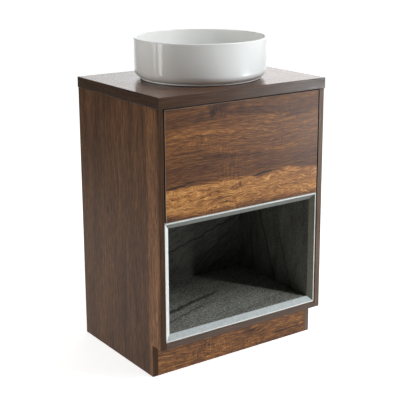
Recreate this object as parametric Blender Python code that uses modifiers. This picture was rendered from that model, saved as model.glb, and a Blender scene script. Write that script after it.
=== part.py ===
"""Vessel basin on a free-standing vanity: one push-to-open drawer above an open, framed niche.

Metres, +Z up. The front faces -Y. The origin is the middle of the footprint, on the floor.
"""

import math

import bmesh
import bpy

# ---- Driving dimensions --------------------------------------------------------------------

WIDTH = 0.600               # over both side panels
CARCASS_DEPTH = 0.456       # side panels, front to back
CARCASS_HEIGHT = 0.809      # floor to the underside of the worktop
BOARD = 0.018               # carcass board
GAP = 0.0003                # between pieces that touch
TOE_HEIGHT = 0.100
TOE_DEPTH = 0.048
EDGE_RADIUS = 0.0010        # rounded edging on visible boards
HIDDEN_EDGE_RADIUS = 0.0005

TOP_THICKNESS = 0.033
TOP_DEPTH = 0.465
TOP_FRONT_OVERHANG = 0.005

FRONT = -TOP_DEPTH / 2 + TOP_FRONT_OVERHANG     # front plane of the carcass
BACK = FRONT + CARCASS_DEPTH
HALF = WIDTH / 2
INNER = HALF - BOARD        # inner face of a side panel
REACH = INNER - GAP         # end of a board fitted between the side panels
TOP_UNDERSIDE = CARCASS_HEIGHT
TOP_SURFACE = CARCASS_HEIGHT + TOP_THICKNESS

# Niche
NICHE_BOTTOM = TOE_HEIGHT + BOARD + GAP
NICHE_TOP = 0.4803
NICHE_BACK_FACE = FRONT + 0.379
TRIM_WIDTH = 0.020          # outer edge to inner edge, seen from the front
TRIM_FLAT = 0.0045          # flat margin along the outer edge
TRIM_LIP = 0.0010           # square lip along the inner edge
TRIM_INSET = 0.004          # behind the front plane
TRIM_REAR = 0.0165
TRIM_EDGE_RADIUS = 0.0003
MITRE_GAP = 0.0002
LINER_FRONT = FRONT + TRIM_REAR + GAP

# Drawer
FRONT_GAP = 0.004           # reveal around the drawer front
DRAWER_FRONT_BOTTOM = 0.482
DRAWER_FRONT_TOP = TOP_UNDERSIDE - FRONT_GAP
PUSH_TRAVEL = 0.003         # the front is pushed in this far to release it
BEHIND_FRONT = FRONT + BOARD + PUSH_TRAVEL + 5 * GAP
BOX_LENGTH = 0.350
BOX_BOTTOM = 0.503
BOX_TOP = 0.663
BOX_BOARD = 0.012
BOX_HALF = 0.269            # outer face of a drawer side
BOX_FRONT = FRONT + BOARD + GAP
BOX_BACK = BOX_FRONT + BOX_LENGTH
BASE_BOTTOM = 0.512
BASE_TOP = 0.520
RECESS_HALF = 0.060         # clear half width of the recess around the trap
RECESS_FRONT = -0.047

# Runners: nested channels, given as (outer face, inner face, half height)
RUNNER_LENGTH = 0.350
RUNNER_START = FRONT + 0.023
RUNNER_HEIGHT_ABOVE_FLOOR = 0.548
RUNNER_SHEET = 0.0012
CABINET_CHANNEL = (REACH, 0.2715, 0.0225)
MIDDLE_CHANNEL = (0.2797, 0.2708, 0.0185)
DRAWER_CHANNEL = (BOX_HALF + GAP, 0.2765, 0.0125)

# Basin: radii, and heights above the underside of its foot
BASIN_RADIUS = 0.2025
BASIN_HEIGHT = 0.125
BEDDING = 0.0012            # silicone bed under the foot
RIM_THICKNESS = 0.007
RIM_ROUND = 0.003
WALL_DRAFT = 0.0006         # the wall leans in this much from rim to corner
CORNER_RADIUS = 0.030       # round between the wall and the underside
CORNER_HEIGHT = 0.035
FOOT_RADIUS = 0.184
FOOT_HEIGHT = 0.0042
FOOT_CHAMFER = 0.0008
FOOT_INNER_RADIUS = 0.166
GROOVE_RADIUS = 0.180       # groove that sets the foot off from the corner
GROOVE_BOTTOM = 0.0052
GROOVE_TOP = 0.0065
CORNER_END_RADIUS = 0.186   # where the corner meets the groove
UNDERSIDE_RADIUS = 0.163
UNDERSIDE = 0.006           # recess inside the foot ring
BOWL_FLOOR = 0.019
BOWL_FALL = 0.004           # the floor falls this much from its edge to the drain
BOWL_WALL_THICKNESS = 0.008
BOWL_CORNER_RADIUS = 0.034
SEAT_DEPTH = 0.0045         # the waste flange sits in a shallow seat
SEAT_RADIUS = 0.035
SEAT_SLOPE = 0.004
DRAIN_RADIUS = 0.0235
BASIN_STEPS = 48

# Waste
FLANGE_RADIUS = 0.032
FLANGE_THICKNESS = 0.0025
SEAL_RADIUS = 0.031
SEAL_THICKNESS = 0.0015
TAIL_RADIUS = 0.0205
TAIL_BORE = 0.0175
TAIL_END = 0.768
TOP_HOLE_RADIUS = 0.025
NUT_BORE = TAIL_RADIUS + GAP
WASHER_RADIUS = 0.032
WASHER_THICKNESS = 0.003
BACKNUT_RADIUS = 0.034      # over the corners
BACKNUT_HEIGHT = 0.012
PLUG_RADIUS = 0.030
PLUG_RIM = 0.0028
PLUG_DOME = 0.0062
STEM_RADIUS = 0.004
STEM_LENGTH = 0.034
CARTRIDGE_RADIUS = 0.008
CARTRIDGE_LENGTH = 0.014
CARTRIDGE_DEPTH = 0.016     # its top, below the plug's seat
PIPE_STEPS = 24

# Bottle trap
TUBE_RADIUS = 0.016
TUBE_BORE = 0.0145
CLEAR_BORE = TUBE_RADIUS + GAP
COLLAR_RADIUS = 0.0195      # collar that hangs the inlet tube in its nut
COLLAR_HEIGHT = 0.0045
TUBE_END = 0.596
SLIP_NUT_RADIUS = 0.0255
SLIP_NUT_LENGTH = 0.018
SLIP_NUT_SHOULDER = 0.0145
SLIP_NUT_OVERLAP = 0.009    # length of thread inside a slip nut
NECK_HEIGHT = 0.010
BOTTLE_RADIUS = 0.030
BOTTLE_THREAD_RADIUS = 0.028
BOTTLE_WALL = 0.0025
BOTTLE_TOP = 0.712
BOTTLE_BOTTOM = 0.618
SHOULDER = 0.004            # chamfer on the bottle's shoulder
CUP_RADIUS = 0.0315         # over the grip ring
CUP_GRIP_HEIGHT = 0.014
CUP_WALL_RADIUS = 0.0295
CUP_WALL = 0.0035
CUP_CHAMFER = 0.008
CUP_TOP = 0.650
CUP_BOTTOM = 0.566
CUP_FLOOR = 0.003
OUTLET_HEIGHT = 0.672
OUTLET_END = 0.058
PIPE_START = 0.036
PIPE_END = TOP_DEPTH / 2 - 0.001
WALL_FLANGE_RADIUS = 0.032
WALL_FLANGE_DEPTH = 0.008

# Push latch, on the divider behind the right-hand end of the drawer
LATCH_X = 0.180
LATCH_WIDTH = 0.014
LATCH_LENGTH = 0.060
LATCH_BORE_LENGTH = 0.054
PLUNGER_LENGTH = 0.048
PLUNGER_STANDS_OUT = 0.004
LATCH_FRONT = BOX_BACK + PUSH_TRAVEL + 2 * GAP
PLUNGER_RADIUS = 0.0035

# ---- Materials: colour, roughness, metallic ------------------------------------------------

FINISHES = {
    "walnut_laminate": ((0.145, 0.082, 0.050), 0.42, 0.0),
    "worktop_laminate": ((0.070, 0.046, 0.038), 0.30, 0.0),
    "slate_laminate": ((0.075, 0.078, 0.074), 0.55, 0.0),
    "silver_trim": ((0.560, 0.570, 0.540), 0.38, 0.6),
    "carcass_board": ((0.120, 0.072, 0.046), 0.60, 0.0),
    "drawer_board": ((0.090, 0.092, 0.094), 0.55, 0.0),
    "glazed_ceramic": ((0.860, 0.870, 0.860), 0.08, 0.0),
    "chrome": ((0.800, 0.810, 0.820), 0.10, 1.0),
    "zinc_steel": ((0.560, 0.570, 0.580), 0.35, 1.0),
    "black_rubber": ((0.020, 0.020, 0.021), 0.75, 0.0),
    "clear_silicone": ((0.620, 0.630, 0.620), 0.40, 0.0),
    "white_plastic": ((0.780, 0.785, 0.780), 0.35, 0.0),
    "grey_plastic": ((0.160, 0.165, 0.170), 0.45, 0.0),
}


# ---- Scene and modelling helpers -----------------------------------------------------------

def clear_scene():
    """Remove every object that is in the file."""
    for obj in list(bpy.data.objects):
        bpy.data.objects.remove(obj, do_unlink=True)


def new_collection(name):
    """A collection linked to the scene."""
    collection = bpy.data.collections.new(name)
    bpy.context.scene.collection.children.link(collection)
    return collection


def make_material(name):
    """A Principled material for one finish."""
    colour, roughness, metallic = FINISHES[name]
    material = bpy.data.materials.new(name)
    material.use_nodes = True
    shader = material.node_tree.nodes["Principled BSDF"]
    shader.inputs["Base Color"].default_value = (*colour, 1.0)
    shader.inputs["Roughness"].default_value = roughness
    shader.inputs["Metallic"].default_value = metallic
    material.diffuse_color = (*colour, 1.0)
    return material


clear_scene()
PARTS = new_collection("vessel_basin_vanity")
CUTTERS = new_collection("cutters")
MATERIALS = {name: make_material(name) for name in FINISHES}


def place(name, data, location, rotation=(0.0, 0.0, 0.0), finish=None):
    """Link an object: a part when it has a finish, a cutter when it has none."""
    obj = bpy.data.objects.new(name, data)
    obj.location = location
    obj.rotation_euler = rotation
    if finish is None:
        CUTTERS.objects.link(obj)
        obj.hide_render = True
        obj.display_type = "WIRE"
    else:
        PARTS.objects.link(obj)
        obj.data.materials.append(MATERIALS[finish])
    return obj


def bevel(obj, width, segments=1):
    """Round the edges of an object."""
    modifier = obj.modifiers.new("edges", "BEVEL")
    modifier.width = width
    modifier.segments = segments
    modifier.limit_method = "ANGLE"
    modifier.angle_limit = math.radians(40)


def combine(target, other, operation="DIFFERENCE"):
    """Cut the target with another object, or join that object to it."""
    modifier = target.modifiers.new(operation.lower(), "BOOLEAN")
    modifier.operation = operation
    modifier.solver = "EXACT"
    modifier.object = other


def box_mesh(name, size):
    """A cuboid about its own middle."""
    mesh = bpy.data.meshes.new(name)
    shape = bmesh.new()
    bmesh.ops.create_cube(shape, size=1.0)
    bmesh.ops.scale(shape, vec=size, verts=shape.verts)
    shape.to_mesh(mesh)
    shape.free()
    return mesh


def box(name, x, y, z, finish=None):
    """A cuboid between the given limits along each axis."""
    limits = (x, y, z)
    size = [high - low for low, high in limits]
    middle = [(high + low) / 2 for low, high in limits]
    return place(name, box_mesh(name, size), middle, finish=finish)


def board(name, x, y, z, finish, radius=HIDDEN_EDGE_RADIUS, segments=1):
    """A board with rounded edges."""
    obj = box(name, x, y, z, finish)
    bevel(obj, radius, segments)
    return obj


def cylinder(name, radius, length, location, rotation=(0.0, 0.0, 0.0), sides=24, finish=None):
    """A solid cylinder about its own middle, along its local Z."""
    mesh = bpy.data.meshes.new(name)
    shape = bmesh.new()
    bmesh.ops.create_cone(
        shape, cap_ends=True, segments=sides, radius1=radius, radius2=radius, depth=length
    )
    shape.to_mesh(mesh)
    shape.free()
    return place(name, mesh, location, rotation, finish)


def smooth(obj):
    """Turn the evaluated shape into a plain mesh, shaded smooth up to its sharp edges."""
    graph = bpy.context.evaluated_depsgraph_get()
    mesh = bpy.data.meshes.new_from_object(obj.evaluated_get(graph))
    mesh.name = obj.name
    obj.modifiers.clear()
    obj.data = mesh
    mesh.shade_smooth()
    mesh.set_sharp_from_angle(angle=math.radians(35))


def turned(name, profile, location, rotation=(0.0, 0.0, 0.0), steps=PIPE_STEPS, finish=None):
    """Turn a profile of (radius, height) points, which runs down its outer side.

    A profile that starts and ends on the axis is a solid; any other one is closed into a ring.
    """
    mesh = bpy.data.meshes.new(name)
    shape = bmesh.new()
    points = [shape.verts.new((radius, 0.0, height)) for radius, height in profile]
    for first, second in zip(points, points[1:]):
        shape.edges.new((first, second))
    if profile[0][0] > 0.0:
        shape.edges.new((points[-1], points[0]))
    shape.to_mesh(mesh)
    shape.free()
    obj = place(name, mesh, location, rotation, finish)
    modifier = obj.modifiers.new("turn", "SCREW")
    modifier.axis = "Z"
    modifier.steps = steps
    modifier.render_steps = steps
    modifier.use_merge_vertices = True
    modifier.merge_threshold = 0.0001
    smooth(obj)
    return obj


def arc(centre, radius, start, end, count):
    """Points on an arc, from one angle to another in degrees."""
    step = (end - start) / (count - 1)
    angles = [math.radians(start + step * index) for index in range(count)]
    return [(centre[0] + radius * math.cos(a), centre[1] + radius * math.sin(a)) for a in angles]


def extruded(name, outline, length, location, rotation, finish):
    """A flat outline given a length along its local Z."""
    curve = bpy.data.curves.new(name, "CURVE")
    curve.dimensions = "2D"
    curve.fill_mode = "BOTH"
    curve.extrude = length / 2
    spline = curve.splines.new("POLY")
    spline.points.add(len(outline) - 1)
    for point, (u, v) in zip(spline.points, outline):
        point.co = (u, v, 0.0, 1.0)
    spline.use_cyclic_u = True
    return place(name, curve, location, rotation, finish)


# ---- Carcass -------------------------------------------------------------------------------

def build_side_panels():
    """Two side panels down to the floor, each with a toe recess at the front."""
    for side, label in ((-1, "left"), (1, "right")):
        faces = sorted((side * HALF, side * INNER))
        panel = box(
            f"side_panel_{label}", faces, (FRONT, BACK), (0.0, CARCASS_HEIGHT - GAP), "walnut_laminate"
        )
        margin = 0.010
        notch = box(
            f"toe_notch_{label}",
            (faces[0] - margin, faces[1] + margin),
            (FRONT - margin, FRONT + TOE_DEPTH),
            (-margin, TOE_HEIGHT),
        )
        combine(panel, notch)
        bevel(panel, EDGE_RADIUS, 2)


def build_carcass_boards():
    """The boards that join the side panels."""
    across = (-REACH, REACH)
    under_top = CARCASS_HEIGHT - GAP
    stretcher_width = 0.060
    rail_height = 0.080
    board(
        "bottom_panel", across, (FRONT, BACK), (TOE_HEIGHT, TOE_HEIGHT + BOARD),
        "walnut_laminate", EDGE_RADIUS, 2,
    )
    board(
        "plinth", across, (FRONT + TOE_DEPTH, FRONT + TOE_DEPTH + BOARD), (0.0, TOE_HEIGHT - GAP),
        "walnut_laminate", EDGE_RADIUS, 2,
    )
    board(
        "divider_panel", across, (BEHIND_FRONT, BACK),
        (NICHE_TOP + GAP, NICHE_TOP + GAP + BOARD), "carcass_board",
    )
    board(
        "front_stretcher", across, (BEHIND_FRONT, BEHIND_FRONT + stretcher_width),
        (under_top - BOARD, under_top), "carcass_board",
    )
    rail_front = BACK - BOARD
    board(
        "rear_stretcher", across, (rail_front - GAP - stretcher_width, rail_front - GAP),
        (under_top - BOARD, under_top), "carcass_board",
    )
    board(
        "rear_rail", across, (rail_front, BACK), (under_top - rail_height, under_top), "carcass_board"
    )
    board(
        "lower_rail", across, (rail_front, BACK), (NICHE_BOTTOM, NICHE_BOTTOM + rail_height),
        "carcass_board",
    )


def build_niche():
    """The stone-effect lining of the niche: a floor, a ceiling, two sides and a back."""
    across = (-REACH, REACH)
    deep = (LINER_FRONT, NICHE_BACK_FACE - GAP)
    floor_top = NICHE_BOTTOM + BOARD
    ceiling_bottom = NICHE_TOP - BOARD
    board("niche_floor", across, deep, (NICHE_BOTTOM, floor_top), "slate_laminate")
    board("niche_ceiling", across, deep, (ceiling_bottom, NICHE_TOP), "slate_laminate")
    for side, label in ((-1, "left"), (1, "right")):
        faces = sorted((side * REACH, side * (REACH - BOARD)))
        board(
            f"niche_side_{label}", faces, deep, (floor_top + GAP, ceiling_bottom - GAP),
            "slate_laminate",
        )
    board(
        "niche_back", across, (NICHE_BACK_FACE, NICHE_BACK_FACE + BOARD),
        (NICHE_BOTTOM, NICHE_TOP), "slate_laminate",
    )


def trim_strip(name, half_length, location, turn):
    """One side of the niche frame.

    The strip lies along its local X and its local Z points to the middle of the niche. Its
    face slopes back from a narrow flat margin to a thin inner lip, and its ends are mitred.
    """
    section = (
        (0.0, TRIM_INSET),
        (TRIM_FLAT, TRIM_INSET),
        (TRIM_WIDTH, TRIM_REAR - TRIM_LIP),
        (TRIM_WIDTH, TRIM_REAR),
        (0.0, TRIM_REAR),
    )
    mesh = bpy.data.meshes.new(name)
    shape = bmesh.new()
    start = -half_length + MITRE_GAP
    corners = [shape.verts.new((start + inward, depth, inward)) for inward, depth in section]
    end_face = shape.faces.new(corners)
    grown = bmesh.ops.extrude_face_region(shape, geom=[end_face])["geom"]
    for vertex in grown:
        if isinstance(vertex, bmesh.types.BMVert):
            vertex.co.x = -vertex.co.x
    bmesh.ops.recalc_face_normals(shape, faces=shape.faces)
    shape.to_mesh(mesh)
    shape.free()
    obj = place(name, mesh, location, (0.0, turn, 0.0), "silver_trim")
    bevel(obj, TRIM_EDGE_RADIUS)


def build_trim():
    """The mitred frame around the mouth of the niche."""
    middle = (NICHE_BOTTOM + NICHE_TOP) / 2
    half_height = (NICHE_TOP - NICHE_BOTTOM) / 2
    quarter = math.pi / 2
    trim_strip("trim_bottom", REACH, (0.0, FRONT, NICHE_BOTTOM), 0.0)
    trim_strip("trim_top", REACH, (0.0, FRONT, NICHE_TOP), 2 * quarter)
    trim_strip("trim_left", half_height, (-REACH, FRONT, middle), quarter)
    trim_strip("trim_right", half_height, (REACH, FRONT, middle), -quarter)


def build_wall_brackets():
    """Two steel angles behind the drawer, for screwing the cabinet to a wall."""
    sheet = 0.002
    leg = 0.040
    low = 0.600
    height = 0.030
    hole_radius = 0.003
    hole_from_corner = 0.024
    for side, label in ((-1, "left"), (1, "right")):
        name = f"wall_bracket_{label}"
        outer = side * REACH
        wall_leg = box(
            name, sorted((outer, outer - side * leg)), (BACK - sheet, BACK), (low, low + height),
            "zinc_steel",
        )
        panel_leg = box(
            f"{name}_leg", sorted((outer, outer - side * sheet)), (BACK - leg, BACK - sheet / 2),
            (low, low + height),
        )
        combine(wall_leg, panel_leg, "UNION")
        hole_height = low + height / 2
        wall_hole = cylinder(
            f"{name}_wall_hole", hole_radius, 4 * sheet,
            (outer - side * hole_from_corner, BACK - sheet / 2, hole_height), (math.pi / 2, 0.0, 0.0),
        )
        panel_hole = cylinder(
            f"{name}_panel_hole", hole_radius, 4 * sheet,
            (outer - side * sheet / 2, BACK - hole_from_corner, hole_height), (0.0, math.pi / 2, 0.0),
        )
        combine(wall_leg, wall_hole)
        combine(wall_leg, panel_hole)


# ---- Worktop and its screws ----------------------------------------------------------------

def build_worktop():
    """The worktop, with the waste hole, and the four screws that hold it down."""
    worktop = board(
        "worktop", (-HALF, HALF), (-TOP_DEPTH / 2, TOP_DEPTH / 2), (TOP_UNDERSIDE, TOP_SURFACE),
        "worktop_laminate", EDGE_RADIUS, 2,
    )
    hole_length = 2 * TOP_THICKNESS
    waste_hole = cylinder(
        "waste_hole", TOP_HOLE_RADIUS, hole_length, (0.0, 0.0, TOP_UNDERSIDE + TOP_THICKNESS / 2),
        sides=PIPE_STEPS,
    )
    combine(worktop, waste_hole)
    build_worktop_screws(worktop)


def build_worktop_screws(worktop):
    """Screws up through the stretchers into blind holes in the worktop."""
    shank_radius = 0.002
    point_radius = 0.0008
    head_radius = 0.004
    head_end_radius = 0.0032
    head_height = 0.0022
    depth = 0.016
    taper = 0.005
    from_middle = 0.200
    from_edge = 0.030
    margin = 0.005
    stretcher_underside = CARCASS_HEIGHT - GAP - BOARD
    tip = TOP_UNDERSIDE + depth
    neck = stretcher_underside - GAP
    head_end = neck - head_height
    profile = (
        (0.0, tip), (point_radius, tip - point_radius), (shank_radius, tip - taper),
        (shank_radius, neck), (head_radius, neck), (head_end_radius, head_end), (0.0, head_end),
    )
    hole_top = tip + GAP
    hole_bottom = stretcher_underside - margin
    rows = {"front_stretcher": BEHIND_FRONT + from_edge, "rear_stretcher": BACK - BOARD - from_edge}
    places = [(stretcher, x, y) for stretcher, y in rows.items() for x in (-from_middle, from_middle)]
    for number, (stretcher, x, y) in enumerate(places, start=1):
        turned(f"worktop_screw_{number}", profile, (x, y, 0.0), steps=12, finish="zinc_steel")
        hole = cylinder(
            f"screw_hole_{number}", shank_radius + GAP, hole_top - hole_bottom,
            (x, y, (hole_top + hole_bottom) / 2), sides=12,
        )
        combine(worktop, hole)
        combine(bpy.data.objects[stretcher], hole)


# ---- Basin and waste -----------------------------------------------------------------------

FOOT = TOP_SURFACE + BEDDING + GAP              # underside of the basin's foot
RIM = TOP_SURFACE + BASIN_HEIGHT
SEAT = FOOT + BOWL_FLOOR - SEAT_DEPTH           # seat of the waste seal, in the bowl


def basin_profile():
    """The basin's section: rim, outer wall, foot ring, underside, drain and bowl."""
    lower_radius = BASIN_RADIUS - WALL_DRAFT
    corner = (lower_radius - CORNER_RADIUS, FOOT + CORNER_HEIGHT)
    corner_end = -math.degrees(math.acos((CORNER_END_RADIUS - corner[0]) / CORNER_RADIUS))
    bowl_wall = lower_radius - BOWL_WALL_THICKNESS
    bowl_corner_height = FOOT + BOWL_FLOOR + BOWL_FALL + BOWL_CORNER_RADIUS
    bowl_corner = (bowl_wall - BOWL_CORNER_RADIUS, bowl_corner_height)
    rim_outer = (BASIN_RADIUS - RIM_ROUND, RIM - RIM_ROUND)
    rim_inner = (BASIN_RADIUS - RIM_THICKNESS + RIM_ROUND, RIM - RIM_ROUND)
    return (
        arc(rim_outer, RIM_ROUND, 90, 0, 4)
        + arc(corner, CORNER_RADIUS, 0, corner_end, 8)
        + [
            (GROOVE_RADIUS, FOOT + GROOVE_TOP),
            (GROOVE_RADIUS, FOOT + GROOVE_BOTTOM),
            (FOOT_RADIUS, FOOT + FOOT_HEIGHT),
            (FOOT_RADIUS, FOOT + FOOT_CHAMFER),
            (FOOT_RADIUS - FOOT_CHAMFER, FOOT),
            (FOOT_INNER_RADIUS, FOOT),
            (UNDERSIDE_RADIUS, FOOT + UNDERSIDE),
            (DRAIN_RADIUS, FOOT + UNDERSIDE),
            (DRAIN_RADIUS, SEAT),
            (SEAT_RADIUS, SEAT),
            (SEAT_RADIUS + SEAT_SLOPE, FOOT + BOWL_FLOOR),
        ]
        + arc(bowl_corner, BOWL_CORNER_RADIUS, -88, 0, 8)
        + arc(rim_inner, RIM_ROUND, 180, 90, 4)
    )


def ring(name, outer, inner, top, bottom, finish, steps=PIPE_STEPS):
    """A plain washer or sleeve."""
    profile = ((outer, top), (outer, bottom), (inner, bottom), (inner, top))
    return turned(name, profile, (0.0, 0.0, 0.0), steps=steps, finish=finish)


def build_basin():
    """The basin on its silicone bed."""
    turned("basin", basin_profile(), (0.0, 0.0, 0.0), steps=BASIN_STEPS, finish="glazed_ceramic")
    margin = 0.002
    ring(
        "basin_bedding", FOOT_RADIUS - margin, FOOT_INNER_RADIUS + margin, FOOT - GAP,
        TOP_SURFACE + GAP, "clear_silicone", BASIN_STEPS,
    )


def build_waste():
    """The push-button waste: seal, body, cartridge, plug, washer and nut."""
    seal_top = SEAT + GAP + SEAL_THICKNESS
    flange_bottom = seal_top + GAP
    flange_top = flange_bottom + FLANGE_THICKNESS
    dish = 0.001
    chamfer = 0.0008
    ring("waste_flange_seal", SEAL_RADIUS, NUT_BORE, seal_top, SEAT + GAP, "black_rubber")
    body_profile = (
        (TAIL_BORE, flange_top - dish),
        (FLANGE_RADIUS - dish, flange_top),
        (FLANGE_RADIUS, flange_bottom + chamfer),
        (FLANGE_RADIUS - chamfer, flange_bottom),
        (TAIL_RADIUS, flange_bottom),
        (TAIL_RADIUS, TAIL_END),
        (TAIL_BORE, TAIL_END),
    )
    turned("waste_body", body_profile, (0.0, 0.0, 0.0), finish="chrome")
    plug_seat = flange_top + GAP
    build_plug(plug_seat)
    build_cartridge(plug_seat - CARTRIDGE_DEPTH)
    washer_top = TOP_UNDERSIDE - GAP
    washer_bottom = washer_top - WASHER_THICKNESS
    ring("waste_washer", WASHER_RADIUS, NUT_BORE, washer_top, washer_bottom, "black_rubber")
    build_backnut(washer_bottom - GAP)


def build_backnut(top):
    """The six-sided nut that clamps the waste, the basin and the worktop together."""
    middle = (0.0, 0.0, top - BACKNUT_HEIGHT / 2)
    nut = cylinder(
        "waste_backnut", BACKNUT_RADIUS, BACKNUT_HEIGHT, middle, sides=6, finish="white_plastic"
    )
    combine(nut, cylinder("backnut_bore", NUT_BORE, 2 * BACKNUT_HEIGHT, middle, sides=PIPE_STEPS))


def build_plug(seat):
    """The domed plug on its stem."""
    chamfer = 0.0006
    dome = [(0.0, 1.0), (0.45, 0.93), (0.80, 0.72)]
    profile = [(PLUG_RADIUS * across, seat + PLUG_DOME * up) for across, up in dome]
    profile += [
        (PLUG_RADIUS, seat + PLUG_RIM),
        (PLUG_RADIUS, seat + chamfer),
        (PLUG_RADIUS - chamfer, seat),
        (STEM_RADIUS, seat),
        (STEM_RADIUS, seat - STEM_LENGTH),
        (0.0, seat - STEM_LENGTH),
    ]
    turned("waste_plug", profile, (0.0, 0.0, 0.0), finish="chrome")


def build_cartridge(top):
    """The sleeve that guides the plug's stem, held in the waste by three arms."""
    bottom = top - CARTRIDGE_LENGTH
    cartridge = ring(
        "waste_cartridge", CARTRIDGE_RADIUS, STEM_RADIUS + GAP, top, bottom, "grey_plastic", 16
    )
    arm_count = 3
    arm_inner = 0.0062
    arm_outer = TAIL_BORE - GAP
    arm_size = (arm_outer - arm_inner, 0.0025, 0.008)
    reach = (arm_inner + arm_outer) / 2
    for number in range(arm_count):
        turn = 2 * math.pi * number / arm_count
        middle = (reach * math.cos(turn), reach * math.sin(turn), (top + bottom) / 2)
        mesh = box_mesh("cartridge_arm", arm_size)
        arm = place(f"cartridge_arm_{number}", mesh, middle, (0.0, 0.0, turn))
        combine(cartridge, arm, "UNION")


# ---- Bottle trap ---------------------------------------------------------------------------

def slip_nut(name, location, rotation):
    """A slip nut: a wide bore at its front end and a narrow one behind its shoulder.

    Its front end is at local height 0, and it reaches down its local Z.
    """
    top_chamfer = 0.001
    end_chamfer = 0.003
    profile = (
        (NUT_BORE, 0.0),
        (SLIP_NUT_RADIUS - top_chamfer, 0.0),
        (SLIP_NUT_RADIUS, -top_chamfer),
        (SLIP_NUT_RADIUS, -SLIP_NUT_LENGTH + end_chamfer),
        (SLIP_NUT_RADIUS - end_chamfer, -SLIP_NUT_LENGTH),
        (CLEAR_BORE, -SLIP_NUT_LENGTH),
        (CLEAR_BORE, -SLIP_NUT_SHOULDER),
        (NUT_BORE, -SLIP_NUT_SHOULDER),
    )
    turned(name, profile, location, rotation, finish="chrome")


def build_trap():
    """The bottle trap under the waste, from its inlet nut to the wall flange."""
    slip_nut("trap_inlet_nut", (0.0, 0.0, TAIL_END + SLIP_NUT_OVERLAP), (0.0, 0.0, 0.0))
    build_inlet_tube()
    build_trap_body()
    neck_nut_start = BOTTLE_TOP + NECK_HEIGHT - SLIP_NUT_OVERLAP
    slip_nut("trap_neck_nut", (0.0, 0.0, neck_nut_start), (math.pi, 0.0, 0.0))
    build_trap_cup()
    build_outlet_pipe()


def build_inlet_tube():
    """The tube that hangs from the waste into the bottle."""
    collar_top = TAIL_END - GAP
    collar_bottom = collar_top - COLLAR_HEIGHT
    profile = (
        (TUBE_BORE, collar_top), (COLLAR_RADIUS, collar_top), (COLLAR_RADIUS, collar_bottom),
        (TUBE_RADIUS, collar_bottom), (TUBE_RADIUS, TUBE_END), (TUBE_BORE, TUBE_END),
    )
    turned("trap_inlet_tube", profile, (0.0, 0.0, 0.0), finish="chrome")


def build_trap_body():
    """The bottle: a neck, a shoulder, a wall down to its thread, and an outlet at the back."""
    neck_top = BOTTLE_TOP + NECK_HEIGHT
    step = 0.001
    bore = BOTTLE_THREAD_RADIUS - BOTTLE_WALL
    profile = (
        (CLEAR_BORE, neck_top),
        (TAIL_RADIUS, neck_top),
        (TAIL_RADIUS, BOTTLE_TOP),
        (BOTTLE_RADIUS - SHOULDER, BOTTLE_TOP),
        (BOTTLE_RADIUS, BOTTLE_TOP - SHOULDER),
        (BOTTLE_RADIUS, CUP_TOP + 3 * step),
        (BOTTLE_THREAD_RADIUS, CUP_TOP + step),
        (BOTTLE_THREAD_RADIUS, BOTTLE_BOTTOM),
        (bore, BOTTLE_BOTTOM),
        (bore, BOTTLE_TOP - SHOULDER),
        (CLEAR_BORE, BOTTLE_TOP - SHOULDER + step),
    )
    body = turned("trap_body", profile, (0.0, 0.0, 0.0), finish="chrome")
    lying = (-math.pi / 2, 0.0, 0.0)
    margin = 0.010
    spigot_start = BOTTLE_RADIUS - SHOULDER
    spigot = cylinder(
        "trap_spigot", TAIL_RADIUS, OUTLET_END - spigot_start,
        (0.0, (OUTLET_END + spigot_start) / 2, OUTLET_HEIGHT), lying, sides=PIPE_STEPS,
    )
    combine(body, spigot, "UNION")
    bore_start = TUBE_RADIUS + SHOULDER
    bore_end = OUTLET_END + margin
    outlet_bore = cylinder(
        "trap_bore", CLEAR_BORE, bore_end - bore_start,
        (0.0, (bore_end + bore_start) / 2, OUTLET_HEIGHT), lying, sides=PIPE_STEPS,
    )
    combine(body, outlet_bore)


def build_trap_cup():
    """The cup that unscrews from the bottle: its floor, bore, rim, grip ring and outside."""
    thread_bore = BOTTLE_THREAD_RADIUS + GAP
    bore = CUP_WALL_RADIUS - CUP_WALL
    floor = CUP_BOTTOM + CUP_FLOOR
    step = 0.002
    grip_bottom = CUP_TOP - CUP_GRIP_HEIGHT
    profile = (
        (0.0, floor),
        (bore - CUP_CHAMFER + CUP_FLOOR, floor),
        (bore, floor + CUP_CHAMFER),
        (bore, BOTTLE_BOTTOM - step),
        (thread_bore, BOTTLE_BOTTOM - step / 2),
        (thread_bore, CUP_TOP),
        (CUP_RADIUS, CUP_TOP),
        (CUP_RADIUS, grip_bottom),
        (CUP_WALL_RADIUS, grip_bottom - step),
        (CUP_WALL_RADIUS, CUP_BOTTOM + CUP_CHAMFER),
        (CUP_WALL_RADIUS - CUP_CHAMFER, CUP_BOTTOM),
        (0.0, CUP_BOTTOM),
    )
    turned("trap_cup", profile, (0.0, 0.0, 0.0), finish="chrome")


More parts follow.
